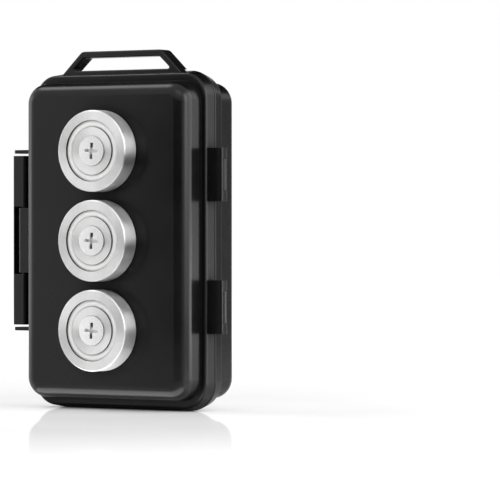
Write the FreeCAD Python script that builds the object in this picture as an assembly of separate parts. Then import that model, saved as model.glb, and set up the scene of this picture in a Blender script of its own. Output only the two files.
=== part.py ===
"""Magnetic key box: a hinged waterproof case held up by three pot magnets.

Frame, in millimetres: the origin is the middle of the middle magnet's contact face.
X runs across the case towards the hinge, Y runs from the magnets into the case,
and Z runs up the length of the case to the carrying loop.
"""
import FreeCAD
import Part
import math
import os

from FreeCAD import Vector

# --- pot magnets -----------------------------------------------------------
MAGNET_DIAMETER = 32.0
MAGNET_HEIGHT = 8.0
MAGNET_PITCH = 35.2
CUP_RIM_WIDTH = 3.9
CUP_FLOOR = 2.4
CUP_EDGE_CHAMFER = 0.4
RING_DIAMETER = 18.8
RING_FACE_DROP = 0.35
FILL_EDGE_DROP = 1.1
FILL_CROWN = 0.4
FILL_THICKNESS = 2.0

# --- screw, washers and nut that hold each magnet ---------------------------
SCREW_DIAMETER = 6.0
SCREW_HEAD_DIAMETER = 11.7
SCREW_HEAD_RIM = 0.5
SCREW_HEAD_DROP = 0.05
SCREW_HOLE_CLEARANCE = 0.2
HEAD_CONE_CLEARANCE = 0.08
CROSS_SPAN = 6.4
CROSS_WIDTH = 1.3
CROSS_DEPTH = 2.2
CROSS_TURN = 4.0
SEAL_WASHER_DIAMETER = 14.0
SEAL_WASHER_THICKNESS = 1.5
FLAT_WASHER_DIAMETER = 12.0
FLAT_WASHER_THICKNESS = 1.6
NUT_ACROSS_FLATS = 10.0
NUT_SIDES = 6
NUT_HEIGHT = 5.0
NUT_CHAMFER = 0.7
SCREW_END_BEYOND_NUT = 0.8
SCREW_END_CHAMFER = 0.6

# --- case outline -----------------------------------------------------------
CASE_WIDTH = 77.8
CASE_HEIGHT = 125.4
CASE_CORNER = 8.4
CASE_WALL = 2.2
PANEL_DRAFT = 0.6
TUB_DRAFT = 0.3
CAVITY_FLOOR_ROUND = 2.0

# --- magnet-side half -------------------------------------------------------
PANEL_RISE = 11.3
PANEL_EDGE_ROUND = 5.3
FLANGE_SIDE_OVERHANG = 2.05
FLANGE_END_OVERHANG = 3.1
FLANGE_CORNER = 9.9
FLANGE_DEPTH = 5.9
FLANGE_SIDE_DRAFT = 0.25
FLANGE_END_DRAFT = 1.0
FLANGE_CORNER_DRAFT = 1.25
FLANGE_EDGE_ROUND = 1.1
SCREW_PAD_DIAMETER = 18.0
SCREW_PAD_HEIGHT = 0.8

# --- seal between the halves ------------------------------------------------
PART_GAP = 0.2
GROOVE_WIDTH = 2.6
GROOVE_DEPTH = 2.4
SEAL_SIDE_CLEARANCE = 0.1
SEAL_THICKNESS = 1.6
TONGUE_WIDTH = 1.4
TONGUE_TO_SEAL = 0.1

# --- key tub, the hinged half -----------------------------------------------
TUB_DEPTH = 20.7
TUB_RIM_PROUD = 0.2
TUB_RIM_DEPTH = 5.8
TUB_RIM_SIDE_DRAFT = 0.6
TUB_RIM_END_DRAFT = 1.35
TUB_RIM_EDGE_ROUND = 0.6
TUB_EDGE_ROUND = 5.8

# --- carrying loop ----------------------------------------------------------
LOOP_BASE_WIDTH = 57.8
LOOP_TOP_WIDTH = 38.0
LOOP_HEIGHT = 8.5
LOOP_BAR = 2.6
LOOP_SILL = 0.85
LOOP_WINDOW_BASE = 47.1
LOOP_WINDOW_TOP = 36.0
LOOP_FRONT_SETBACK = 1.3
LOOP_BACK_REACH = 2.2
LOOP_RIM_CLEARANCE = 0.4
LOOP_CORNER = 3.0
LOOP_WINDOW_CORNER = 0.6
LOOP_EDGE_ROUND = 0.6
LOOP_EDGE_FLAT = 0.1
LOOP_ROOT = 2.0

# --- hinge ------------------------------------------------------------------
HINGE_CENTRE = 25.85
HINGE_LENGTH = 20.9
HINGE_POCKET = 12.9
HINGE_AXIS_OUT = 5.0
HINGE_AXIS_FROM_PARTING = 1.8
HINGE_BARREL_RADIUS = 1.8
HINGE_FRONT_SETBACK = 1.0
HINGE_FRONT_PLATE = 1.0
HINGE_END_CLEARANCE = 0.2
KNUCKLE_SHRINK = 0.1
KNUCKLE_ARM_SETBACK = 0.5
KNUCKLE_ARM_SHOULDER = 2.6
KNUCKLE_ARM_ROOT_DEPTH = 3.1
KNUCKLE_ARM_RISE = 0.8
KNUCKLE_ARM_ANGLE = 30.0
HINGE_PIN_DIAMETER = 1.8
HINGE_PIN_RECESS = 0.3
HINGE_LUG_ROUND = 0.8
HINGE_REAR_ROUND = 1.75

# --- latch ------------------------------------------------------------------
LATCH_LENGTH = 68.0
LATCH_FORWARD = 1.0
LATCH_AXIS_OUT = 6.2
LATCH_EAR_RADIUS = 2.2
LATCH_EAR_LENGTH = 26.0
LATCH_EAR_GAP = 0.6
LATCH_BLOCK_INNER = 2.3
LATCH_REACH_OUT = 3.85
LATCH_PLATE = 2.2
LATCH_RELIEF_SKIN = 0.45
LATCH_BLOCK_ROUND = 1.2
LATCH_OUTER_ROUND = 0.5
LATCH_HOOK_LENGTH = 44.0
LATCH_HOOK_REACH = 5.4
LATCH_HOOK_DEPTH = 2.4
LATCH_HOOK_GAP = 0.2
LATCH_HOOK_CHAMFER = 1.2
LATCH_BLOCK_TAPER = 1.8
LATCH_TAB_DEPTH = 3.2
LATCH_TAB_FLARE = 1.8
GRIP_GROOVES = 4
GRIP_LENGTH = 34.0
GRIP_PITCH = 1.6
GRIP_WIDTH = 0.8
GRIP_DEPTH = 0.5
LATCH_PIN_DIAMETER = 2.0
LATCH_PIN_RECESS = 0.5
CATCH_LENGTH = 46.0
CATCH_REACH = 4.4
CATCH_DEPTH = 3.7
CATCH_CHAMFER = 1.0
FIN_GAP = 0.9
FIN_THICKNESS = 1.45
FIN_OUTER_ROUND = 1.2
FIN_SETBACK = 0.2
LATCH_PAD_THICKNESS = 1.8
RUNNING_CLEARANCE = 0.05
ROOT_OVERLAP = 1.0

# --- foam liners ------------------------------------------------------------
LINER_SIDE_CLEARANCE = 0.3
BED_LINER_THICKNESS = 9.6
BED_LINER_BORE = 15.0
BED_LINER_TAPER = 0.6
TUB_LINER_THICKNESS = 3.0

# --- aids for cutting and for picking edges ---------------------------------
CUT_MARGIN = 1.0
SAME_PLACE = 1e-3
SHORTEST_EDGE = 0.5
FULL_TURN = 360.0

# --- stations along Y -------------------------------------------------------
Y_PANEL = MAGNET_HEIGHT
Y_FLANGE = Y_PANEL + PANEL_RISE
Y_PART = Y_FLANGE + FLANGE_DEPTH
Y_TUB = Y_PART + PART_GAP
Y_TUB_RIM = Y_TUB + TUB_RIM_DEPTH
Y_BACK = Y_PART + TUB_DEPTH
Y_FLOOR = Y_PANEL + CASE_WALL
Y_PAD = Y_FLOOR + SCREW_PAD_HEIGHT
Y_TUB_FLOOR = Y_BACK - CASE_WALL

# --- half sizes of the case in X and Z ---------------------------------------
HALF_WIDTH = CASE_WIDTH / 2
HALF_HEIGHT = CASE_HEIGHT / 2
FLANGE_SIDE = HALF_WIDTH + FLANGE_SIDE_OVERHANG
FLANGE_TOP = HALF_HEIGHT + FLANGE_END_OVERHANG
FLANGE_BACK_SIDE = FLANGE_SIDE + FLANGE_SIDE_DRAFT
FLANGE_BACK_TOP = FLANGE_TOP + FLANGE_END_DRAFT
RIM_SIDE = FLANGE_BACK_SIDE + TUB_RIM_PROUD
RIM_TOP = FLANGE_BACK_TOP + TUB_RIM_PROUD
FLANGE_BACK_CORNER = FLANGE_CORNER + FLANGE_CORNER_DRAFT
RIM_CORNER = FLANGE_BACK_CORNER + TUB_RIM_PROUD
SEAL_LINE_OFFSET = (FLANGE_SIDE_OVERHANG - CASE_WALL) / 2

# --- axes and stations of the hinge and latch --------------------------------
HINGE_X = FLANGE_SIDE + HINGE_AXIS_OUT
HINGE_Y = Y_PART - HINGE_AXIS_FROM_PARTING
LATCH_X = -FLANGE_SIDE - LATCH_AXIS_OUT
LATCH_FRONT = Y_FLANGE - LATCH_FORWARD
LATCH_Y = LATCH_FRONT + LATCH_EAR_RADIUS
LATCH_OUTER = LATCH_X - LATCH_REACH_OUT
CATCH_BACK = Y_TUB + CATCH_DEPTH
HOOK_Y = CATCH_BACK + LATCH_HOOK_GAP
MAGNET_ROWS = (("upper", MAGNET_PITCH), ("middle", 0.0), ("lower", -MAGNET_PITCH))
SIDES = (("upper", 1), ("lower", -1))


def rounded_outline(half_x, half_z, radius, y):
    """Rounded rectangle round the Y axis, by its half sizes and corner radius."""
    slant = radius * (1 - math.sqrt(0.5))
    edges = []
    for sign_x, sign_z in ((1, 1), (-1, 1), (-1, -1), (1, -1)):
        side = Vector(sign_x * half_x, y, sign_z * (half_z - radius))
        top = Vector(sign_x * (half_x - radius), y, sign_z * half_z)
        middle = Vector(sign_x * (half_x - slant), y, sign_z * (half_z - slant))
        start, end = (side, top) if sign_x * sign_z > 0 else (top, side)
        edges.append((start, middle, end))
    wire_edges = []
    for index, (start, middle, end) in enumerate(edges):
        wire_edges.append(Part.Arc(start, middle, end).toShape())
        wire_edges.append(Part.makeLine(end, edges[(index + 1) % 4][0]))
    return Part.Wire(wire_edges)


def case_outline(grow, y):
    """Rounded rectangle parallel to the case outline, offset outwards by grow."""
    return rounded_outline(HALF_WIDTH + grow, HALF_HEIGHT + grow, CASE_CORNER + grow, y)


def drafted_block(front, back):
    """Solid between two outlines, with its sides drafted from one to the other."""
    return Part.makeLoft([front, back], True, True)


def case_block(grow_a, y_a, grow_b, y_b):
    """Solid between two outlines that are parallel to the case outline."""
    return drafted_block(case_outline(grow_a, y_a), case_outline(grow_b, y_b))


def case_ring(grow_outer, grow_inner, y_a, y_b):
    """Straight-sided ring that follows the case outline."""
    outer = case_block(grow_outer, y_a, grow_outer, y_b)
    return outer.cut(case_block(grow_inner, y_a, grow_inner, y_b))


def rim_edges(shape, y):
    """Edges of a shape that lie wholly in the plane at y."""
    return [edge for edge in shape.Edges
            if abs(edge.BoundBox.YMin - y) < SAME_PLACE
            and abs(edge.BoundBox.YMax - y) < SAME_PLACE]


def long_edges_at(shape, x, y):
    """Edges that run along Z at one place in X and Y."""
    found = []
    for edge in shape.Edges:
        box = edge.BoundBox
        if box.ZLength > SHORTEST_EDGE and abs(box.XMin - x) + abs(box.XMax - x) < SAME_PLACE:
            if abs(box.YMin - y) + abs(box.YMax - y) < SAME_PLACE:
                found.append(edge)
    return found


def round_along_y(shape, radius, x, z):
    """Round the two edges along Y at plus and minus x, at height z."""
    found = []
    for edge in shape.Edges:
        bounds = edge.BoundBox
        along_y = bounds.YLength > SHORTEST_EDGE and bounds.XLength < SAME_PLACE
        if along_y and abs(bounds.ZMin - z) < SAME_PLACE:
            if abs(abs(bounds.XMin) - x) < SAME_PLACE:
                found.append(edge)
    return shape.makeFillet(radius, found)


def prism_xy(points, z_low, z_high):
    """Polygon in X and Y, extruded along Z."""
    corners = [Vector(x, y, z_low) for x, y in points]
    face = Part.Face(Part.makePolygon(corners + corners[:1]))
    return face.extrude(Vector(0, 0, z_high - z_low))


def prism_xz(points, y_front, y_back):
    """Polygon in X and Z, extruded along Y."""
    corners = [Vector(x, y_front, z) for x, z in points]
    face = Part.Face(Part.makePolygon(corners + corners[:1]))
    return face.extrude(Vector(0, y_back - y_front, 0))


def box(x_low, x_high, y_low, y_high, z_low, z_high):
    """Box between two corners."""
    return Part.makeBox(x_high - x_low, y_high - y_low, z_high - z_low,
                        Vector(x_low, y_low, z_low))


def post(radius, x, y, z_low, z_high):
    """Cylinder along Z."""
    return Part.makeCylinder(radius, z_high - z_low, Vector(x, y, z_low), Vector(0, 0, 1))


def disc(radius, y_low, y_high, z):
    """Cylinder along Y, on a magnet's axis."""
    return Part.makeCylinder(radius, y_high - y_low, Vector(0, y_low, z), Vector(0, 1, 0))


def cone(radius_low, radius_high, y_low, y_high, z):
    """Cone along Y, on a magnet's axis."""
    return Part.makeCone(radius_low, radius_high, y_high - y_low,
                         Vector(0, y_low, z), Vector(0, 1, 0))


# --- magnet-side half --------------------------------------------------------
def base_body():
    """Raised panel on its drafted flange, hollowed from the parting plane."""
    panel = case_block(-PANEL_DRAFT, Y_PANEL, 0, Y_FLANGE + FLANGE_EDGE_ROUND)
    panel = panel.makeFillet(PANEL_EDGE_ROUND, rim_edges(panel, Y_PANEL))
    flange = drafted_block(rounded_outline(FLANGE_SIDE, FLANGE_TOP, FLANGE_CORNER, Y_FLANGE),
                           rounded_outline(FLANGE_BACK_SIDE, FLANGE_BACK_TOP,
                                           FLANGE_BACK_CORNER, Y_PART))
    flange = flange.makeFillet(FLANGE_EDGE_ROUND, rim_edges(flange, Y_FLANGE))
    cavity = case_block(-CASE_WALL - PANEL_DRAFT, Y_FLOOR, -CASE_WALL, Y_PART)
    cavity = cavity.makeFillet(CAVITY_FLOOR_ROUND, rim_edges(cavity, Y_FLOOR))
    return panel.fuse(flange).cut(cavity)


def seal_groove():
    """Channel round the mouth of the magnet-side half."""
    half = GROOVE_WIDTH / 2
    return case_ring(SEAL_LINE_OFFSET + half, SEAL_LINE_OFFSET - half,
                     Y_PART - GROOVE_DEPTH, Y_PART)


def loop_leg_wall():
    """Thickness of a loop leg at the sill, square to its sloping outer side."""
    run = (LOOP_BASE_WIDTH - LOOP_TOP_WIDTH) / 2
    rise = FLANGE_BACK_TOP + LOOP_HEIGHT - FLANGE_TOP
    climb = FLANGE_BACK_TOP + LOOP_SILL - FLANGE_TOP
    outer = LOOP_BASE_WIDTH / 2 - run * climb / rise
    return (outer - LOOP_WINDOW_BASE / 2) * rise / math.hypot(run, rise)


def carrying_loop():
    """Trapezoid loop on the flange's top edge, its legs and bar reaching over the tub's rim."""
    foot = FLANGE_TOP - LOOP_ROOT
    sill = FLANGE_BACK_TOP + LOOP_SILL
    bar_top = FLANGE_BACK_TOP + LOOP_HEIGHT
    bar_bottom = bar_top - LOOP_BAR
    front = Y_FLANGE + LOOP_FRONT_SETBACK
    back = Y_PART + LOOP_BACK_REACH
    base = LOOP_BASE_WIDTH / 2
    top = LOOP_TOP_WIDTH / 2
    outline = [(-base, foot), (base, foot), (base, FLANGE_TOP), (top, bar_top),
               (-top, bar_top), (-base, FLANGE_TOP)]
    loop = prism_xz(outline, front, back)
    loop = round_along_y(loop, LOOP_CORNER, top, bar_top)
    low = LOOP_WINDOW_BASE / 2
    high = LOOP_WINDOW_TOP / 2
    window = prism_xz([(-low, sill), (low, sill), (high, bar_bottom), (-high, bar_bottom)],
                      front, back)
    window = round_along_y(window, LOOP_WINDOW_CORNER, low, sill)
    window = round_along_y(window, LOOP_WINDOW_CORNER, high, bar_bottom)
    loop = loop.cut(window)
    rim = [edge for edge in rim_edges(loop, front) + rim_edges(loop, back)
           if edge.BoundBox.ZMax > FLANGE_TOP + SAME_PLACE]
    loop = loop.makeFillet(min(LOOP_EDGE_ROUND, loop_leg_wall() / 2 - LOOP_EDGE_FLAT), rim)
    over_rim = box(-base - CUT_MARGIN, base + CUT_MARGIN, Y_PART, back + CUT_MARGIN,
                   foot - CUT_MARGIN, RIM_TOP + LOOP_RIM_CLEARANCE)
    behind_sill = box(-low, low, Y_PART, back + CUT_MARGIN, RIM_TOP, sill + LOOP_EDGE_ROUND)
    return loop.cut(over_rim).cut(behind_sill)


def hinge_lug(sign):
    """One hinge lug: a pocketed block with a rounded outer edge and a pin bore."""
    z_low = sign * HINGE_CENTRE - HINGE_LENGTH / 2
    z_high = z_low + HINGE_LENGTH
    front = Y_FLANGE + HINGE_FRONT_SETBACK
    outer = HINGE_X + HINGE_BARREL_RADIUS
    rear = HINGE_Y + HINGE_BARREL_RADIUS
    root = FLANGE_SIDE - ROOT_OVERLAP
    lug = prism_xy([(root, front), (outer, front), (outer, rear), (root, rear)], z_low, z_high)
    lug = lug.makeFillet(HINGE_LUG_ROUND, long_edges_at(lug, outer, front))
    lug = lug.makeFillet(HINGE_REAR_ROUND, long_edges_at(lug, outer, rear))
    pocket = box(root - CUT_MARGIN, outer + CUT_MARGIN,
                 front + HINGE_FRONT_PLATE, Y_PART + CUT_MARGIN,
                 sign * HINGE_CENTRE - HINGE_POCKET / 2, sign * HINGE_CENTRE + HINGE_POCKET / 2)
    bore = post(HINGE_PIN_DIAMETER / 2, HINGE_X, HINGE_Y,
                z_low - CUT_MARGIN, z_high + CUT_MARGIN)
    return lug.cut(pocket).cut(bore)


def latch_seat():
    """Pad on the flange that carries the latch's pivot ear and the two guard fins."""
    half = LATCH_LENGTH / 2 + FIN_GAP + FIN_THICKNESS
    root = -HALF_WIDTH + PANEL_DRAFT
    face = -FLANGE_SIDE - LATCH_PAD_THICKNESS
    seat = box(face, root, LATCH_FRONT, Y_PART, -half, half)
    half_ear = LATCH_EAR_LENGTH / 2
    ear = box(LATCH_X, root, LATCH_FRONT, LATCH_Y + LATCH_EAR_RADIUS, -half_ear, half_ear)
    seat = seat.fuse([ear, post(LATCH_EAR_RADIUS, LATCH_X, LATCH_Y, -half_ear, half_ear)])
    for sign in (1, -1):
        inner = sign * (half - FIN_THICKNESS)
        fin = box(LATCH_OUTER + FIN_SETBACK, root, LATCH_FRONT, Y_PART,
                  min(inner, sign * half), max(inner, sign * half))
        fin = fin.makeFillet(FIN_OUTER_ROUND,
                             long_edges_at(fin, LATCH_OUTER + FIN_SETBACK, LATCH_FRONT)
                             + long_edges_at(fin, LATCH_OUTER + FIN_SETBACK, Y_PART))
        seat = seat.fuse(fin)
    bore = post(LATCH_PIN_DIAMETER / 2, LATCH_X, LATCH_Y,
                -half_ear - CUT_MARGIN, half_ear + CUT_MARGIN)
    return seat.cut(bore)


def screw_pads():
    """Raised pads inside the panel, under the seal washers."""
    return [disc(SCREW_PAD_DIAMETER / 2, Y_PANEL + CASE_WALL / 2, Y_PAD, z)
            for _, z in MAGNET_ROWS]


def magnet_side_shell():
    """The whole magnet-side half, one moulding."""
    cavity_guard = case_block(-CASE_WALL, Y_FLOOR, -CASE_WALL, Y_PART)
    fittings = [carrying_loop(), latch_seat().cut(cavity_guard)]
    fittings += [hinge_lug(sign) for _, sign in SIDES]
    shell = base_body().fuse(fittings + screw_pads())
    shell = shell.cut(seal_groove())
    bore_radius = SCREW_DIAMETER / 2 + SCREW_HOLE_CLEARANCE
    for _, z in MAGNET_ROWS:
        shell = shell.cut(disc(bore_radius, Y_PANEL - CUT_MARGIN, Y_PAD + CUT_MARGIN, z))
    return shell.removeSplitter()


# --- key tub -----------------------------------------------------------------
def tub_body():
    """Open tub with a rim all round its mouth."""
    body = case_block(0, Y_TUB, -TUB_DRAFT, Y_BACK)
    body = body.makeFillet(TUB_EDGE_ROUND, rim_edges(body, Y_BACK))
    rim = drafted_block(rounded_outline(RIM_SIDE, RIM_TOP, RIM_CORNER, Y_TUB),
                        rounded_outline(RIM_SIDE - TUB_RIM_SIDE_DRAFT,
                                        RIM_TOP - TUB_RIM_END_DRAFT,
                                        RIM_CORNER - TUB_RIM_SIDE_DRAFT, Y_TUB_RIM))
    rim = rim.makeFillet(TUB_RIM_EDGE_ROUND,
                         rim_edges(rim, Y_TUB) + rim_edges(rim, Y_TUB_RIM))
    cavity = case_block(-CASE_WALL, Y_TUB, -CASE_WALL - TUB_DRAFT, Y_TUB_FLOOR)
    cavity = cavity.makeFillet(CAVITY_FLOOR_ROUND, rim_edges(cavity, Y_TUB_FLOOR))
    return body.fuse(rim).cut(cavity)


def tub_tongue():
    """Tongue that presses the seal into its groove."""
    seal_top = Y_PART - GROOVE_DEPTH + SEAL_THICKNESS
    return case_ring(SEAL_LINE_OFFSET + TONGUE_WIDTH / 2, SEAL_LINE_OFFSET - TONGUE_WIDTH / 2,
                     seal_top + TONGUE_TO_SEAL, Y_TUB + TUB_RIM_DEPTH / 2)


def hinge_knuckle(sign):
    """Knuckle that turns on the hinge pin, with its arm to the tub's rim."""
    half = HINGE_POCKET / 2 - HINGE_END_CLEARANCE
    z_low = sign * HINGE_CENTRE - half
    z_high = sign * HINGE_CENTRE + half
    radius = HINGE_BARREL_RADIUS - KNUCKLE_SHRINK
    barrel = post(radius, HINGE_X, HINGE_Y, z_low, z_high)
    root = FLANGE_SIDE - ROOT_OVERLAP
    step = RIM_SIDE + KNUCKLE_ARM_SETBACK
    slant = math.radians(KNUCKLE_ARM_ANGLE)
    arm = prism_xy([(root, Y_TUB), (step, Y_TUB),
                    (HINGE_X - radius * math.cos(slant), HINGE_Y - radius * math.sin(slant)),
                    (HINGE_X, HINGE_Y), (HINGE_X, HINGE_Y + radius),
                    (HINGE_X - KNUCKLE_ARM_SHOULDER, HINGE_Y + radius + KNUCKLE_ARM_RISE),
                    (root, Y_TUB + KNUCKLE_ARM_ROOT_DEPTH)], z_low, z_high)
    bore = post(HINGE_PIN_DIAMETER / 2 + RUNNING_CLEARANCE, HINGE_X, HINGE_Y,
                z_low - CUT_MARGIN, z_high + CUT_MARGIN)
    return barrel.fuse(arm).cut(bore)


def latch_catch():
    """Ledge on the side of the tub's rim that the latch hooks behind."""
    outer = -FLANGE_SIDE - CATCH_REACH
    root = -FLANGE_SIDE + ROOT_OVERLAP
    ledge = box(outer, root, Y_TUB, CATCH_BACK, -CATCH_LENGTH / 2, CATCH_LENGTH / 2)
    return ledge.makeChamfer(CATCH_CHAMFER, long_edges_at(ledge, outer, Y_TUB))


def key_tub():
    """The whole hinged half, one moulding."""
    fittings = [tub_tongue(), latch_catch()]
    fittings += [hinge_knuckle(sign) for _, sign in SIDES]
    return tub_body().fuse(fittings).removeSplitter()


# --- seal, pins and latch lever ----------------------------------------------
def case_seal():
    """Silicone ring that lies in the groove."""
    half = GROOVE_WIDTH / 2 - SEAL_SIDE_CLEARANCE
    bottom = Y_PART - GROOVE_DEPTH
    return case_ring(SEAL_LINE_OFFSET + half, SEAL_LINE_OFFSET - half,
                     bottom, bottom + SEAL_THICKNESS)


def hinge_pin(sign):
    """Steel pin through one lug and its knuckle."""
    half = HINGE_LENGTH / 2 - HINGE_PIN_RECESS
    return post(HINGE_PIN_DIAMETER / 2, HINGE_X, HINGE_Y,
                sign * HINGE_CENTRE - half, sign * HINGE_CENTRE + half)


def latch_pin():
    """Steel pin through the ear and both blocks of the lever."""
    half = LATCH_LENGTH / 2 - LATCH_PIN_RECESS
    return post(LATCH_PIN_DIAMETER / 2, LATCH_X, LATCH_Y, -half, half)


def grip_grooves(y_last):
    """Grooves for the thumb on the lever's outer plate, side by side up to y_last."""
    half = GRIP_LENGTH / 2
    grooves = []
    for step in range(GRIP_GROOVES):
        y_high = y_last - step * GRIP_PITCH
        grooves.append(box(LATCH_OUTER - CUT_MARGIN, LATCH_OUTER + GRIP_DEPTH,
                           y_high - GRIP_WIDTH, y_high, -half, half))
    return Part.makeCompound(grooves)


def latch_lever():
    """Lever with two pivot blocks, an outer plate, a hook and a finger tab."""
    half = LATCH_LENGTH / 2
    inner = LATCH_X + LATCH_BLOCK_INNER
    plate_inner = LATCH_OUTER + LATCH_PLATE
    block_back = LATCH_Y + LATCH_EAR_RADIUS
    hook_back = HOOK_Y + LATCH_HOOK_DEPTH
    tab_end = hook_back + LATCH_TAB_DEPTH
    profile = [(inner, LATCH_FRONT), (inner, block_back),
               (plate_inner, block_back + LATCH_BLOCK_TAPER), (plate_inner, hook_back),
               (plate_inner - LATCH_TAB_FLARE, tab_end),
               (LATCH_OUTER - LATCH_TAB_FLARE, tab_end), (LATCH_OUTER, hook_back),
               (LATCH_OUTER, LATCH_FRONT)]
    lever = prism_xy(profile, -half, half)
    lever = lever.makeFillet(LATCH_BLOCK_ROUND, long_edges_at(lever, inner, LATCH_FRONT))
    lever = lever.makeFillet(LATCH_OUTER_ROUND, long_edges_at(lever, LATCH_OUTER, LATCH_FRONT))
    hook = box(plate_inner - ROOT_OVERLAP, plate_inner + LATCH_HOOK_REACH, HOOK_Y, hook_back,
               -LATCH_HOOK_LENGTH / 2, LATCH_HOOK_LENGTH / 2)
    hook = hook.makeChamfer(LATCH_HOOK_CHAMFER,
                            long_edges_at(hook, plate_inner + LATCH_HOOK_REACH, hook_back))
    lever = lever.fuse(hook)
    half_relief = LATCH_EAR_LENGTH / 2 + LATCH_EAR_GAP
    relief = box(LATCH_OUTER + LATCH_RELIEF_SKIN, inner + CUT_MARGIN, LATCH_FRONT - CUT_MARGIN,
                 block_back + LATCH_BLOCK_TAPER, -half_relief, half_relief)
    bore = post(LATCH_PIN_DIAMETER / 2 + RUNNING_CLEARANCE, LATCH_X, LATCH_Y,
                -half - CUT_MARGIN, half + CUT_MARGIN)
    return lever.cut(relief).cut(bore).cut(grip_grooves(hook_back)).removeSplitter()


# --- magnet sets --------------------------------------------------------------
def magnet_cup(z):
    """Steel cup with a flat rim, open at the contact face."""
    cup = disc(MAGNET_DIAMETER / 2, 0, MAGNET_HEIGHT, z)
    cup = cup.makeChamfer(CUP_EDGE_CHAMFER, rim_edges(cup, 0) + rim_edges(cup, MAGNET_HEIGHT))
    well = disc(MAGNET_DIAMETER / 2 - CUP_RIM_WIDTH, -CUT_MARGIN, MAGNET_HEIGHT - CUP_FLOOR, z)
    bore = disc(SCREW_DIAMETER / 2 + SCREW_HOLE_CLEARANCE, -CUT_MARGIN,
                MAGNET_HEIGHT + CUT_MARGIN, z)
    return cup.cut(well).cut(bore)


def head_cone(z, clearance):
    """Countersunk form of the screw head, grown by a clearance."""
    radius = SCREW_HEAD_DIAMETER / 2 + clearance
    neck = SCREW_DIAMETER / 2 + clearance
    rim = disc(radius, SCREW_HEAD_DROP, SCREW_HEAD_DROP + SCREW_HEAD_RIM, z)
    start = SCREW_HEAD_DROP + SCREW_HEAD_RIM
    return rim.fuse(cone(radius, neck, start, start + radius - neck, z))


def magnet_ring(z):
    """Neodymium ring with a countersunk bore."""
    ring = disc(RING_DIAMETER / 2, RING_FACE_DROP, MAGNET_HEIGHT - CUP_FLOOR, z)
    mouth = disc(SCREW_HEAD_DIAMETER / 2 + HEAD_CONE_CLEARANCE,
                 0, SCREW_HEAD_DROP + SCREW_HEAD_RIM, z)
    bore = disc(SCREW_DIAMETER / 2 + SCREW_HOLE_CLEARANCE, 0, MAGNET_HEIGHT, z)
    return ring.cut(head_cone(z, HEAD_CONE_CLEARANCE)).cut(mouth).cut(bore)


def magnet_fill(z):
    """Cast ring with a crowned face that holds the neodymium ring in its cup."""
    inner = RING_DIAMETER / 2
    outer = MAGNET_DIAMETER / 2 - CUP_RIM_WIDTH
    back = FILL_EDGE_DROP + FILL_THICKNESS
    inner_edge = Vector(inner, FILL_EDGE_DROP, z)
    outer_edge = Vector(outer, FILL_EDGE_DROP, z)
    crown = Vector((inner + outer) / 2, FILL_EDGE_DROP - FILL_CROWN, z)
    inner_back = Vector(inner, back, z)
    outer_back = Vector(outer, back, z)
    section = Part.Wire([Part.Arc(inner_edge, crown, outer_edge).toShape(),
                         Part.makeLine(outer_edge, outer_back),
                         Part.makeLine(outer_back, inner_back),
                         Part.makeLine(inner_back, inner_edge)])
    return Part.Face(section).revolve(Vector(0, 0, z), Vector(0, 1, 0), FULL_TURN)


def magnet_screw(z):
    """Countersunk screw with a cross recess."""
    end = Y_PAD + SEAL_WASHER_THICKNESS + FLAT_WASHER_THICKNESS + NUT_HEIGHT
    end = end + SCREW_END_BEYOND_NUT
    shank = disc(SCREW_DIAMETER / 2, SCREW_HEAD_DROP + SCREW_HEAD_RIM, end, z)
    shank = shank.makeChamfer(SCREW_END_CHAMFER, rim_edges(shank, end))
    screw = head_cone(z, 0).fuse(shank)
    half = CROSS_SPAN / 2
    for turn in (0, FULL_TURN / 4):
        slot = box(-half, half, 0, SCREW_HEAD_DROP + CROSS_DEPTH,
                   z - CROSS_WIDTH / 2, z + CROSS_WIDTH / 2)
        slot.rotate(Vector(0, 0, z), Vector(0, 1, 0), turn + CROSS_TURN)
        screw = screw.cut(slot)
    return screw


def washer(z, y, diameter, thickness):
    """Flat washer round a magnet screw."""
    ring = disc(diameter / 2, y, y + thickness, z)
    return ring.cut(disc(SCREW_DIAMETER / 2 + SCREW_HOLE_CLEARANCE,
                         y - CUT_MARGIN, y + thickness + CUT_MARGIN, z))


def magnet_nut(z):
    """Hexagon nut on the end of a magnet screw."""
    y_low = Y_PAD + SEAL_WASHER_THICKNESS + FLAT_WASHER_THICKNESS
    corner = NUT_ACROSS_FLATS / 2 / math.cos(math.pi / NUT_SIDES)
    turns = [math.radians(FULL_TURN * side / NUT_SIDES) for side in range(NUT_SIDES)]
    points = [(corner * math.sin(turn), z + corner * math.cos(turn)) for turn in turns]
    hexagon = prism_xz(points, y_low, y_low + NUT_HEIGHT)
    crown = cone(corner + NUT_HEIGHT, corner - NUT_CHAMFER,
                 y_low, y_low + NUT_HEIGHT + NUT_CHAMFER, z)
    bore = disc(SCREW_DIAMETER / 2, y_low - CUT_MARGIN, y_low + NUT_HEIGHT + CUT_MARGIN, z)
    return hexagon.common(crown).cut(bore)


# --- foam liners --------------------------------------------------------------
def bed_liner():
    """Foam bed of the magnet-side half, with a bore round each nut."""
    inset = -CASE_WALL - PANEL_DRAFT - LINER_SIDE_CLEARANCE
    liner = case_block(inset - BED_LINER_TAPER, Y_PAD, inset, Y_PAD + BED_LINER_THICKNESS)
    for _, z in MAGNET_ROWS:
        liner = liner.cut(disc(BED_LINER_BORE / 2, Y_PANEL, Y_TUB, z))
    return liner


def tub_liner():
    """Foam sheet on the floor of the tub."""
    inset = -CASE_WALL - TUB_DRAFT - CAVITY_FLOOR_ROUND
    return case_block(inset, Y_TUB_FLOOR - TUB_LINER_THICKNESS, inset, Y_TUB_FLOOR)


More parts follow.
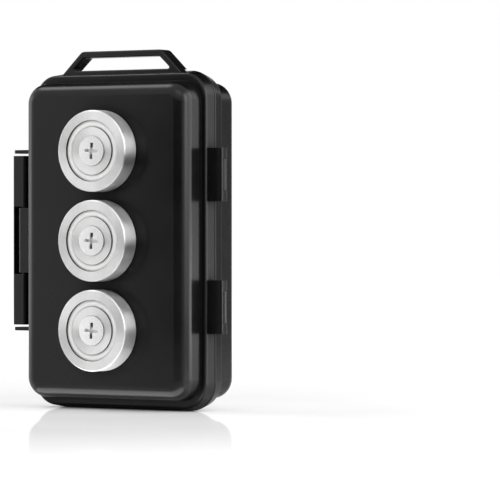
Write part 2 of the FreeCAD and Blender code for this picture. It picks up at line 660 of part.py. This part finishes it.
def all_nodes():
    """Every separate piece, by node name."""
    nodes = {
        "magnet_side_shell": magnet_side_shell(),
        "key_tub": key_tub(),
        "case_seal": case_seal(),
        "latch_lever": latch_lever(),
        "latch_pin": latch_pin(),
        "bed_liner": bed_liner(),
        "tub_liner": tub_liner(),
    }
    for name, sign in SIDES:
        nodes["hinge_pin_" + name] = hinge_pin(sign)
    washer_y = Y_PAD + SEAL_WASHER_THICKNESS
    for name, z in MAGNET_ROWS:
        nodes["magnet_cup_" + name] = magnet_cup(z)
        nodes["magnet_ring_" + name] = magnet_ring(z)
        nodes["magnet_fill_" + name] = magnet_fill(z)
        nodes["magnet_screw_" + name] = magnet_screw(z)
        nodes["seal_washer_" + name] = washer(z, Y_PAD, SEAL_WASHER_DIAMETER,
                                              SEAL_WASHER_THICKNESS)
        nodes["flat_washer_" + name] = washer(z, washer_y, FLAT_WASHER_DIAMETER,
                                              FLAT_WASHER_THICKNESS)
        nodes["magnet_nut_" + name] = magnet_nut(z)
    return nodes


def write_parts():
    """Write one STEP file per piece."""
    os.makedirs("parts", exist_ok=True)
    for name, shape in all_nodes().items():
        shape.exportStep("parts/" + name + ".step")
        print(name, len(shape.Solids), "solid", round(shape.Volume, 2), "mm3",
              "valid" if shape.isValid() else "INVALID")


write_parts()
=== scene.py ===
import math

import bpy
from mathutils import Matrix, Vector, noise

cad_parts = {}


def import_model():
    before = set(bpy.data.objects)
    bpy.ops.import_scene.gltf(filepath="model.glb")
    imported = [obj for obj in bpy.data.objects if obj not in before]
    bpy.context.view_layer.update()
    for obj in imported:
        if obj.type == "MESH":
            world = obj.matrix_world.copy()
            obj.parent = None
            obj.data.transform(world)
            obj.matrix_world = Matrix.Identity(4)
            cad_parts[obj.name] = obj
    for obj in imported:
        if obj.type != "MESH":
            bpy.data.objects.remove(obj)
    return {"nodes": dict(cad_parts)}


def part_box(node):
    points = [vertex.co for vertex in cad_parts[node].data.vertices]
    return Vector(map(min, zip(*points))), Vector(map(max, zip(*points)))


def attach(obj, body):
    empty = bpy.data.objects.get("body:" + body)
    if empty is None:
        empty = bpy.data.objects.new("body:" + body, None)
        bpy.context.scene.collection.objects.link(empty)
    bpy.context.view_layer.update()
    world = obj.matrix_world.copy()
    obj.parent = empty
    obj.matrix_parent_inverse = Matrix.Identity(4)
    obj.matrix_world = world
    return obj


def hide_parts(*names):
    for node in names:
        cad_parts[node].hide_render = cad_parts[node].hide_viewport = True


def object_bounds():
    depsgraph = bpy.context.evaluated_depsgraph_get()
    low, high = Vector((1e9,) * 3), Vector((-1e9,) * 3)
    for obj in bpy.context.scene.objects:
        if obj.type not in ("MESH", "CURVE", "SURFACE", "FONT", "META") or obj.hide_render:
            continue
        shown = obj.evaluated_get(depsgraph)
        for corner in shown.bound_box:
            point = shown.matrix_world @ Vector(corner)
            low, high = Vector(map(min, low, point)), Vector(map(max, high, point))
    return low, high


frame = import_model()
cad_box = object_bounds()

# A plastic key box that hangs from steel by three pot magnets. Every CAD node keeps its mesh and gets
# its finish here, apart from the two foam liners, which softer meshes replace.


# --- sizes and places ----------------------------------------------------------
MM = 0.001
NODES = frame["nodes"]
ROWS = ("upper", "middle", "lower")


def centre_of(node):
    """Middle of a CAD node's box."""
    low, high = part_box(node)
    return (low + high) / 2


def size_of(node):
    """Size of a CAD node's box."""
    low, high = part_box(node)
    return high - low


FLOOR_Z = cad_box[0].z
PANEL_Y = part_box("magnet_cup_middle")[1].y
MAGNET_PITCH = centre_of("magnet_cup_upper").z - centre_of("magnet_cup_middle").z
CUP_RADIUS = size_of("magnet_cup_middle").x / 2
WELL_RADIUS = size_of("magnet_fill_middle").x / 2
RING_RADIUS = size_of("magnet_ring_middle").x / 2
HEAD_RADIUS = size_of("magnet_screw_middle").x / 2

# The camera stands on the hinge side. Its bearing, from -Y towards +X, and its distance are counted
# from the middle of the panel. Its heading turns from +Y towards -X, and its tilt up from straight down.
# Its lens and sensor are in millimetres.
CAMERA_BEARING = math.radians(34.63)
CAMERA_HEADING = math.radians(32.235)
CAMERA_TILT = math.radians(89.539)
CAMERA_DISTANCE = 1.385
CAMERA_HEIGHT = 7.5 * MM
CAMERA_LENS = 253.4
CAMERA_SENSOR = 36.0

FLOOR_HALF_WIDTH = 6.0

# The foam liners: a bed in the magnet-side half, cut round its nuts, and a thin sheet in the tub.
# Their skin has ripples and pores of a given depth, with a given number of cells in each metre.
FOAM_CLEARANCE = 0.15 * MM
FOAM_EDGE = 0.7 * MM
FOAM_VOXEL = 0.9 * MM
CROWN_REACH = 7 * MM
RIPPLE_DEPTH = 0.07 * MM
RIPPLE_CELLS = 90.0
PORE_DEPTH = 0.04 * MM
PORE_CELLS = 700.0
BED_CORNER = 6 * MM
BED_CROWN = 1.2 * MM
BED_NUT_CLEARANCE = 1.9 * MM
SHEET_CORNER = 4.5 * MM
SHEET_CROWN = 0.6 * MM
CORNER_STEPS = 8
HOLE_STEPS = 40


# --- shader helpers ------------------------------------------------------------
class Tree:
    """A node tree, with short calls for its nodes and links."""

    def __init__(self, tree):
        self.tree = tree

    def node(self, kind, inputs=None, **settings):
        """Add a node, set its properties, and set or link its inputs."""
        made = self.tree.nodes.new("ShaderNode" + kind)
        for key, value in settings.items():
            setattr(made, key, value)
        for key, value in (inputs or {}).items():
            self.feed(made.inputs[key], value)
        return made

    def feed(self, socket, value):
        """Set a socket's value, or link it where the value is another socket."""
        if isinstance(value, bpy.types.NodeSocket):
            self.tree.links.new(value, socket)
        else:
            socket.default_value = value

    def calc(self, operation, a, b=0.0, c=0.0):
        """One Math node."""
        return self.node("Math", {0: a, 1: b, 2: c}, operation=operation).outputs[0]

    def remap(self, value, low, high, to_low, to_high):
        """Take low..high to to_low..to_high, held at both ends."""
        return self.node("MapRange", {"Value": value, "From Min": low, "From Max": high,
                                      "To Min": to_low, "To Max": to_high}).outputs["Result"]


class Shader(Tree):
    """A material's node tree, with the patterns and masks that the finishes share."""

    def __init__(self, name):
        self.material = bpy.data.materials.new(name)
        self.material.use_nodes = True
        super().__init__(self.material.node_tree)
        self.principled = self.tree.nodes["Principled BSDF"]
        self.output = self.tree.nodes["Material Output"]

    def set(self, **values):
        """Set or link inputs of the Principled shader, with _ for each space."""
        for key, value in values.items():
            self.feed(self.principled.inputs[key.replace("_", " ")], value)

    def source_of(self, name):
        """The socket that is linked to an input of the Principled shader."""
        return self.principled.inputs[name].links[0].from_socket

    def place(self):
        """Position in the part's own frame, in metres."""
        return self.node("TexCoord").outputs["Object"]

    def along(self, axis):
        """Position along X, Y or Z, in metres."""
        return self.node("SeparateXYZ", {0: self.place()}).outputs[axis]

    def length(self, vector):
        """Length of a vector."""
        return self.node("VectorMath", {0: vector}, operation="LENGTH").outputs["Value"]

    def noise(self, scale, detail=2.0, place=None):
        """Noise of a given number of cells in each metre."""
        made = self.node("TexNoise", {"Vector": place or self.place(), "Scale": scale,
                                      "Detail": detail})
        return made.outputs["Fac"]

    def mix_colour(self, factor, a, b):
        """Blend of two colours."""
        made = self.node("Mix", data_type="RGBA")
        self.feed(made.inputs["Factor"], factor)
        self.feed(made.inputs[6], a)
        self.feed(made.inputs[7], b)
        return made.outputs[2]

    def mottle(self, pattern, a, b):
        """Colour that wanders between two colours as a noise pattern does."""
        return self.mix_colour(self.remap(pattern, 0.3, 0.7, 0.0, 1.0), a, b)

    def bump(self, height, depth, strength=1.0, normal=None):
        """Bump from a height of 0 to 1 that stands for a depth in metres."""
        inputs = {"Height": height, "Distance": depth, "Strength": strength}
        if normal is not None:
            inputs["Normal"] = normal
        return self.node("Bump", inputs).outputs["Normal"]

    def soft_edges(self, radius):
        """Normals that round the sharp edges off over a radius in metres."""
        return self.node("Bevel", {"Radius": radius}, samples=6).outputs["Normal"]

    def openness(self, distance, samples):
        """1 where nothing stands within a distance of the surface, down to 0 in tight corners."""
        return self.node("AmbientOcclusion", {"Distance": distance}, samples=samples).outputs["AO"]

    def magnet_radius(self):
        """Distance from the nearest magnet's axis, in metres."""
        z = self.calc("WRAP", self.along("Z"), -MAGNET_PITCH / 2, MAGNET_PITCH / 2)
        return self.length(self.node("CombineXYZ", {"X": self.along("X"), "Z": z}).outputs[0])

    def lathe_lines(self, spacing):
        """Fine lines round each magnet's axis, as a lathe leaves them on faces and sides."""
        ring = self.node("CombineXYZ", {"X": self.magnet_radius(), "Y": self.along("Y")})
        return self.noise(1 / spacing, detail=3.0, place=ring.outputs[0])


def grey(level, blue=0.0):
    """A neutral colour, a little bluer where wanted."""
    return (level, level, level * (1 + blue), 1.0)


# --- finishes ------------------------------------------------------------------
def case_plastic():
    """Black moulded plastic with a satin grain, its reflection dimmed in its corners and grooves as
    painted shade.
    """
    s = Shader("case_plastic_satin")
    grain = s.noise(5200.0)
    swell = s.noise(160.0)
    polish = s.noise(38.0, detail=4.0)
    normal = s.bump(swell, 0.02 * MM, 0.35, s.soft_edges(0.25 * MM))
    normal = s.bump(grain, 0.012 * MM, 0.35, normal)
    s.set(Base_Color=s.mottle(polish, grey(0.004, 0.05), grey(0.0065, 0.05)),
          Roughness=s.remap(polish, 0.3, 0.7, 0.22, 0.28), Normal=normal,
          # Painted shade: the reflection is turned down where other surfaces stand within 6 mm.
          Specular_IOR_Level=s.remap(s.openness(6 * MM, samples=8), 0.3, 0.95, 0.05, 0.29))
    return s.material


def nickel(name, low, high, roughness):
    """Nickel plate over a face and side that were turned."""
    s = Shader(name)
    lines = s.lathe_lines(0.22 * MM)
    cloud = s.noise(420.0, detail=3.0)
    shade = s.calc("ADD", s.calc("MULTIPLY", lines, 0.6), s.calc("MULTIPLY", cloud, 0.4))
    tone = s.mix_colour(s.remap(shade, 0.35, 0.65, 0.0, 1.0), grey(low), grey(high))
    s.set(Base_Color=tone, Metallic=1.0, Anisotropic=0.85, Anisotropic_Rotation=0.25,
          Roughness=s.remap(cloud, 0.3, 0.7, roughness - 0.03, roughness + 0.04),
          Normal=s.bump(lines, 0.02 * MM, 0.35, s.soft_edges(0.12 * MM)),
          Tangent=s.node("Tangent", direction_type="RADIAL", axis="Y").outputs[0])
    return s


def paint_gap_shade(s, edge_radius, outside, dark):
    """Painted shade: darken a piece's outer wall, or the wall round its well, where shade gathers in the
    gap.
    """
    radius = s.magnet_radius()
    band = 0.06 * MM
    if outside:
        wall = s.remap(radius, edge_radius - band, edge_radius - band / 2, 0.0, 1.0)
    else:
        wall = s.remap(radius, edge_radius + band / 2, edge_radius + band, 1.0, 0.0)
    below_face = s.remap(s.along("Y"), 0.02 * MM, 0.12 * MM, 0.0, 1.0)
    mask = s.calc("MULTIPLY", wall, below_face)
    # Painted shade: the masked wall takes the dark grey.
    s.set(Base_Color=s.mix_colour(mask, s.source_of("Base Color"), grey(dark)))
    return s


def cup_nickel():
    """The magnet cups, with painted shade on the wall round the well, and a darker plate colour on their
    sides as painted shade.
    """
    s = paint_gap_shade(nickel("magnet_cup_nickel", 0.80, 0.90, 0.44), WELL_RADIUS, False, 0.05)
    # Painted shade: the cup's side takes a darker grey than its face.
    side = s.remap(s.magnet_radius(), CUP_RADIUS - 0.15 * MM, CUP_RADIUS - 0.05 * MM, 0.0, 1.0)
    s.set(Base_Color=s.mix_colour(side, s.source_of("Base Color"), grey(0.6)))
    return s.material


def ring_nickel():
    """The neodymium rings, with painted shade on their outer wall in the gap."""
    return paint_gap_shade(nickel("magnet_ring_nickel", 0.84, 0.92, 0.44), RING_RADIUS, True, 0.06).material


def bright_steel(name, roughness=0.16):
    """Bright zinc-plated steel of the screws, nuts and washers."""
    s = Shader(name)
    cloud = s.noise(650.0, detail=4.0)
    s.set(Base_Color=s.mottle(cloud, grey(0.92), grey(0.98)), Metallic=1.0,
          Roughness=s.remap(cloud, 0.3, 0.7, roughness, roughness + 0.08),
          Normal=s.bump(cloud, 0.01 * MM, 0.3, s.soft_edges(0.1 * MM)))
    return s


def screw_steel():
    """The screws: matt in the cross recess, with painted shade at the head's edge and deep in the
    upright arm's ends.
    """
    s = paint_gap_shade(bright_steel("screw_zinc"), HEAD_RADIUS, True, 0.08)
    radius = s.magnet_radius()
    depth = s.along("Y")
    recess = s.remap(radius, 0.58 * HEAD_RADIUS, 0.62 * HEAD_RADIUS, 1.0, 0.0)
    upright_arm = s.remap(s.calc("ABSOLUTE", s.along("X")), 0.55 * MM, 0.75 * MM, 1.0, 0.0)
    ends = s.calc("MULTIPLY", s.remap(radius, 1.2 * MM, 1.9 * MM, 0.0, 0.95), upright_arm)
    # Painted shade: darker deeper in the recess and towards the upright arm's ends.
    dark = s.calc("MULTIPLY", s.calc("MULTIPLY", recess, ends),
                  s.remap(depth, 0.2 * MM, 1.2 * MM, 0.0, 1.0))
    matt = s.calc("MULTIPLY", recess, s.remap(depth, 0.05 * MM, 0.25 * MM, 0.0, 0.5))
    s.set(Base_Color=s.mix_colour(dark, s.source_of("Base Color"), grey(0.02)),
          Roughness=s.calc("MAXIMUM", matt, s.source_of("Roughness")))
    return s.material


def pin_steel():
    """Dark steel wire of the hinge and latch pins, with drawing lines along Z; dark, so that no glint
    shows in the gaps round them.
    """
    s = Shader("pin_dark_steel")
    stretched = s.node("Mapping", {"Vector": s.place(), "Scale": (1.0, 1.0, 0.04)})
    lines = s.noise(4200.0, detail=3.0, place=stretched.outputs[0])
    s.set(Base_Color=s.mottle(lines, grey(0.035), grey(0.055, 0.06)), Metallic=0.8,
          Roughness=0.38, Normal=s.bump(lines, 0.01 * MM, 0.4))
    return s.material


def white_resin():
    """Cast white resin round the neodymium rings."""
    s = Shader("white_fill_resin")
    cloud = s.noise(300.0, detail=3.0)
    s.set(Base_Color=s.mottle(cloud, grey(0.90, -0.02), grey(0.95, -0.01)),
          Roughness=s.remap(cloud, 0.3, 0.7, 0.16, 0.26), Normal=s.bump(cloud, 0.03 * MM, 0.3))
    return s.material


def rubber(name, level, grain_depth):
    """Moulded rubber or silicone with a matt bloom."""
    s = Shader(name)
    grain = s.noise(3000.0, detail=3.0)
    bloom = s.noise(90.0, detail=4.0)
    s.set(Base_Color=s.mottle(bloom, grey(level * 0.85), grey(level * 1.15)),
          Roughness=s.remap(bloom, 0.3, 0.7, 0.55, 0.7),
          Normal=s.bump(grain, grain_depth, 0.6, s.soft_edges(0.15 * MM)))
    return s.material


def foam_cells():
    """Dark closed-cell foam."""
    s = Shader("liner_closed_cell")
    cells = s.node("TexVoronoi", {"Vector": s.place(), "Scale": 1500.0, "Randomness": 1.0})
    cell = s.remap(cells.outputs["Distance"], 0.0, 0.7, 0.0, 1.0)
    cloud = s.noise(120.0, detail=4.0)
    shade = s.calc("MULTIPLY", s.remap(cloud, 0.3, 0.7, 0.6, 1.0), s.remap(cell, 0.0, 1.0, 1.0, 0.5))
    s.set(Base_Color=s.mix_colour(shade, grey(0.012), grey(0.034, 0.06)), Roughness=0.92,
          Normal=s.bump(cell, 0.12 * MM, 0.7), Sheen_Weight=0.25, Sheen_Roughness=0.5)
    return s.material


def dress_nodes():
    """Give every CAD node that stays in view its material."""
    plastic = case_plastic()
    pin = pin_steel()
    finishes = {
        "magnet_side_shell": plastic, "key_tub": plastic, "latch_lever": plastic,
        "latch_pin": pin, "hinge_pin_upper": pin, "hinge_pin_lower": pin,
        "case_seal": rubber("seal_silicone_grey", 0.2, 0.02 * MM),
    }
    row_finishes = {
        "magnet_cup": cup_nickel(), "magnet_ring": ring_nickel(), "magnet_fill": white_resin(),
        "magnet_screw": screw_steel(), "magnet_nut": bright_steel("nut_zinc", 0.22).material,
        "flat_washer": bright_steel("washer_zinc", 0.26).material,
        "seal_washer": rubber("washer_rubber", 0.022, 0.03 * MM),
    }
    for row in ROWS:
        for name, finish in row_finishes.items():
            finishes[name + "_" + row] = finish
    for name, finish in finishes.items():
        piece = NODES[name]
        for material_slot in piece.material_slots:
            material_slot.material = finish


# --- foam liners ---------------------------------------------------------------
def foam_curve(name, width, height, corner, thickness, holes):
    """Die-cut sheet: a rounded rectangle in X and Y with round holes, rounded at its edges."""
    data = bpy.data.curves.new(name, "CURVE")
    data.dimensions = "2D"
    data.fill_mode = "BOTH"
    data.extrude = thickness / 2 - FOAM_EDGE
    data.bevel_depth = FOAM_EDGE
    data.bevel_resolution = 4
    data.offset = -FOAM_EDGE
    data.resolution_u = 1
    outline = []
    for quarter, (side_x, side_y) in enumerate(((1, 1), (-1, 1), (-1, -1), (1, -1))):
        middle = Vector((side_x * (width / 2 - corner), side_y * (height / 2 - corner)))
        for step in range(CORNER_STEPS + 1):
            turn = (quarter + step / CORNER_STEPS) * math.pi / 2
            outline.append(middle + corner * Vector((math.cos(turn), math.sin(turn))))
    rings = [outline]
    for x, y, radius in holes:
        hole = []
        for step in range(HOLE_STEPS):
            turn = math.tau * step / HOLE_STEPS
            hole.append(Vector((x + radius * math.cos(turn), y - radius * math.sin(turn))))
        rings.append(hole)
    for points in rings:
        spline = data.splines.new("POLY")
        spline.points.add(len(points) - 1)
        for point, place in zip(spline.points, points):
            point.co = (place.x, place.y, 0.0, 1.0)
        spline.use_cyclic_u = True
    return bpy.data.objects.new(name, data)


def settled(obj):
    """The object's evaluated mesh, modifiers and curve fill included."""
    bpy.context.view_layer.update()
    return bpy.data.meshes.new_from_object(obj.evaluated_get(bpy.context.evaluated_depsgraph_get()))


def foam_mesh(name, width, height, thickness, corner, holes):
    """The cut sheet as an even mesh with softened edges."""
    sketch = foam_curve(name + "_sketch", width, height, corner, thickness, holes)
    bpy.context.scene.collection.objects.link(sketch)
    block = bpy.data.objects.new(name + "_block", settled(sketch))
    bpy.data.objects.remove(sketch)
    bpy.context.scene.collection.objects.link(block)
    remesh = block.modifiers.new("even", "REMESH")
    remesh.mode = "VOXEL"
    remesh.voxel_size = FOAM_VOXEL
    smooth = block.modifiers.new("soft", "SMOOTH")
    smooth.factor = 0.5
    smooth.iterations = 2
    mesh = settled(block)
    bpy.data.objects.remove(block)
    return mesh


def foam_piece(name, node, corner, holes, crown, body, material):
    """A soft foam sheet in the space of its CAD solid, crowned on the side that shows."""
    low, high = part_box(node)
    size = high - low
    width = size.x - 2 * FOAM_CLEARANCE
    height = size.z - 2 * FOAM_CLEARANCE
    thickness = size.y - 2 * FOAM_CLEARANCE
    mesh = foam_mesh(name, width, height, thickness, corner, holes)
    outward = [vertex.normal.copy() for vertex in mesh.vertices]
    for vertex, normal in zip(mesh.vertices, outward):
        x, y, z = vertex.co
        rim = min(width / 2 - abs(x), height / 2 - abs(y))
        for hole_x, hole_y, radius in holes:
            rim = min(rim, math.hypot(x - hole_x, y - hole_y) - radius)
        share = max(0.0, min(1.0, rim / CROWN_REACH))
        sink = crown * (1 - share) ** 2 * max(0.0, z / (thickness / 2))
        ripple = noise.fractal(vertex.co * RIPPLE_CELLS, 0.6, 2.0, 4)
        pores = noise.noise(vertex.co * PORE_CELLS)
        dent = RIPPLE_DEPTH * (1 + ripple) + PORE_DEPTH * pores
        vertex.co = Vector((x, y, z - sink)) - normal * dent
    # The sheet stands up here, with its crowned side towards the inside of the case.
    middle = (low + high) / 2
    inward = -1 if body == "tub_half" else 1
    for vertex in mesh.vertices:
        x, y, z = vertex.co
        vertex.co = Vector((middle.x + x, middle.y + inward * z, middle.z + inward * -y))
    for polygon in mesh.polygons:
        polygon.use_smooth = True
    mesh.update()
    mesh.materials.clear()
    mesh.materials.append(material)
    piece = bpy.data.objects.new(name, mesh)
    bpy.context.scene.collection.objects.link(piece)
    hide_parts(node)
    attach(piece, body)


def foam_liners():
    """Both foam liners, in one foam."""
    foam = foam_cells()
    bore = size_of("magnet_nut_middle").z / 2 + BED_NUT_CLEARANCE
    bores = [(0.0, centre_of("magnet_nut_" + row).z, bore) for row in ROWS]
    foam_piece("bed_foam", "bed_liner", BED_CORNER, bores, BED_CROWN, "magnet_half", foam)
    foam_piece("tub_foam", "tub_liner", SHEET_CORNER, [], SHEET_CROWN, "tub_half", foam)


# --- stage ---------------------------------------------------------------------
def aim(obj, place, target):
    """Stand at a place and look at a target."""
    obj.location = place
    obj.rotation_euler = (Vector(target) - Vector(place)).to_track_quat("-Z", "Y").to_euler()


def direction(azimuth, elevation):
    """Unit vector out of the object: azimuth 0 is -Y, the magnets' side, and 90 is +X."""
    a = math.radians(azimuth)
    e = math.radians(elevation)
    return Vector((math.sin(a) * math.cos(e), -math.cos(a) * math.cos(e), math.sin(e)))


def softbox(name, azimuth, elevation, distance, width, height, radiance):
    """Area light that faces the object and looks radiance times as bright as white paper."""
    data = bpy.data.lights.new(name, "AREA")
    data.shape = "RECTANGLE"
    data.size = width
    data.size_y = height
    data.energy = math.pi * width * height * radiance
    lamp = bpy.data.objects.new(name, data)
    bpy.context.scene.collection.objects.link(lamp)
    middle = (cad_box[0] + cad_box[1]) / 2
    aim(lamp, middle + direction(azimuth, elevation) * distance, middle)


def card(name, corners, level):
    """Card that shows only in reflections of its front, level times as bright as white."""
    mesh = bpy.data.meshes.new(name)
    mesh.from_pydata([tuple(corner) for corner in corners], [], [(0, 1, 2, 3)])
    s = Shader(name)
    glow = s.node("Emission", {"Color": grey(1.0), "Strength": level})
    behind = s.node("NewGeometry").outputs["Backfacing"]
    clear = s.node("BsdfTransparent")
    both = s.node("MixShader", {0: behind, 1: glow.outputs[0], 2: clear.outputs[0]})
    s.feed(s.output.inputs["Surface"], both.outputs[0])
    mesh.materials.append(s.material)
    made = bpy.data.objects.new(name, mesh)
    bpy.context.scene.collection.objects.link(made)
    made.visible_camera = False
    made.visible_diffuse = False
    made.visible_shadow = False
    return made


def flag(name, place, target, width, height, level):
    """Standing card that faces the target."""
    x, y = width / 2, height / 2
    corners = [(-x, -y, 0.0), (-x, y, 0.0), (x, y, 0.0), (x, -y, 0.0)]
    aim(card(name, corners, level), place, target)


def lying_card(name, outline, lift, level):
    """Card that lies above the floor, face up where its outline runs counter-clockwise."""
    corners = [(x, y, 0.0) for x, y in outline]
    card(name, corners, level).location = (0.0, 0.0, FLOOR_Z + lift)


def lights():
    """Plain soft studio light, and the cards that the object mirrors beside it."""
    softbox("top_box", azimuth=-80, elevation=58, distance=1.1, width=0.62, height=0.38, radiance=3.9)
    softbox("right_box", azimuth=101.5, elevation=18, distance=1.0, width=1.6, height=0.9, radiance=2.35)
    softbox("right_strip", azimuth=78, elevation=18, distance=0.9, width=0.28, height=0.5, radiance=2.6)
    softbox("front_box", azimuth=24, elevation=42, distance=1.5, width=1.0, height=0.6, radiance=1.2)
    softbox("left_box", azimuth=-76, elevation=4, distance=1.0, width=0.5, height=0.6, radiance=1.9)
    softbox("low_box", azimuth=117, elevation=-7, distance=0.3, width=0.15, height=0.055, radiance=3.5)

    flag("camera_flag", place=(0.038, -0.253, 0.01), target=(0.0, 0.023, 0.01),
         width=0.44, height=0.17, level=0.0)
    flag("rear_flag", place=(-0.24, 0.55, 0.69), target=(0.0, 0.0, 0.0),
         width=1.4, height=1.0, level=0.0)
    flag("side_flag", place=(0.16, 0.33, 0.03), target=(0.16, 0.0, 0.03),
         width=0.26, height=0.2, level=0.24)

    # The black card at the right is laid out as the camera sees it: across its view, and along it.
    across = Vector((math.cos(CAMERA_HEADING), math.sin(CAMERA_HEADING)))
    along = Vector((-math.sin(CAMERA_HEADING), math.cos(CAMERA_HEADING)))
    outline = [across * x + along * y
               for x, y in ((0.095, -0.8), (1.4, -0.8), (1.4, -0.25), (0.095, -0.03))]
    lying_card("floor_flag", outline, lift=12 * MM, level=0.0)
    outline = ((-0.042, -0.001), (0.046, -0.001), (0.046, 0.009), (-0.042, 0.009))
    lying_card("foot_card", outline, lift=0.5 * MM, level=4.5)


def world():
    """White surroundings: full white where they are seen or mirrored, half of that as a light."""
    made = bpy.data.worlds.new("studio")
    made.use_nodes = True
    tree = Tree(made.node_tree)
    path = tree.node("LightPath").outputs
    seen = tree.calc("MAXIMUM", path["Is Camera Ray"], path["Is Glossy Ray"])
    clear = tree.calc("MAXIMUM", seen, path["Is Transmission Ray"])
    back = made.node_tree.nodes["Background"]
    tree.feed(back.inputs["Color"], grey(1.0))
    tree.feed(back.inputs["Strength"], tree.remap(clear, 0.0, 1.0, 0.5, 1.0))
    bpy.context.scene.world = made


def floor():
    """White floor, a faint mirror near the object and brighter further out, with a painted pool of light
    close to the object and a painted contact shadow where the object stands close.
    """
    s = Shader("floor_white")
    reach = s.length(s.place())
    mirror = s.node("BsdfGlossy", {"Color": grey(1.0), "Roughness": 0.03})
    paint = s.node("BsdfDiffuse", {"Color": grey(0.8)})
    # Painted light: a stronger glow within 0.12 m of the middle lifts the floor in the object's shadow.
    near = s.remap(reach, 0.03, 0.12, 0.14, 0.0)
    middle = s.remap(reach, 0.12, 0.28, 0.14, 0.22)
    far = s.remap(reach, 0.3, 1.0, 0.0, 0.4)
    fill = s.calc("ADD", s.calc("ADD", near, middle), far)
    # Painted contact shadow: the glow fades where the object stands within 4 mm.
    glow_with_painted_contact_shadow = s.calc("MULTIPLY", s.openness(4 * MM, samples=12), fill)
    glow = s.node("Emission", {"Color": grey(1.0), "Strength": glow_with_painted_contact_shadow})
    base = s.node("AddShader", {0: paint.outputs[0], 1: glow.outputs[0]})
    fade = s.remap(reach, 0.05, 0.32, 0.34, 0.0)
    both = s.node("MixShader", {0: fade, 1: base.outputs[0], 2: mirror.outputs[0]})
    s.feed(s.output.inputs["Surface"], both.outputs[0])
    mesh = bpy.data.meshes.new("floor")
    half = FLOOR_HALF_WIDTH
    corners = [(-half, -half, 0.0), (half, -half, 0.0), (half, half, 0.0), (-half, half, 0.0)]
    mesh.from_pydata(corners, [], [(0, 1, 2, 3)])
    mesh.materials.append(s.material)
    ground = bpy.data.objects.new("floor", mesh)
    ground.location = (0.0, 0.0, FLOOR_Z)
    bpy.context.scene.collection.objects.link(ground)


def camera():
    """The viewpoint: from the hinge side, just above the middle magnet's height."""
    data = bpy.data.cameras.new("camera")
    data.sensor_width = CAMERA_SENSOR
    data.lens = CAMERA_LENS
    data.clip_start = 0.05
    data.clip_end = 50.0
    view = bpy.data.objects.new("camera", data)
    view.location = (CAMERA_DISTANCE * math.sin(CAMERA_BEARING),
                     PANEL_Y - CAMERA_DISTANCE * math.cos(CAMERA_BEARING), CAMERA_HEIGHT)
    view.rotation_euler = (CAMERA_TILT, 0.0, CAMERA_HEADING)
    bpy.context.scene.collection.objects.link(view)
    bpy.context.scene.camera = view


bpy.context.scene.view_settings.view_transform = "Standard"
camera()
world()
lights()
floor()
dress_nodes()
foam_liners()
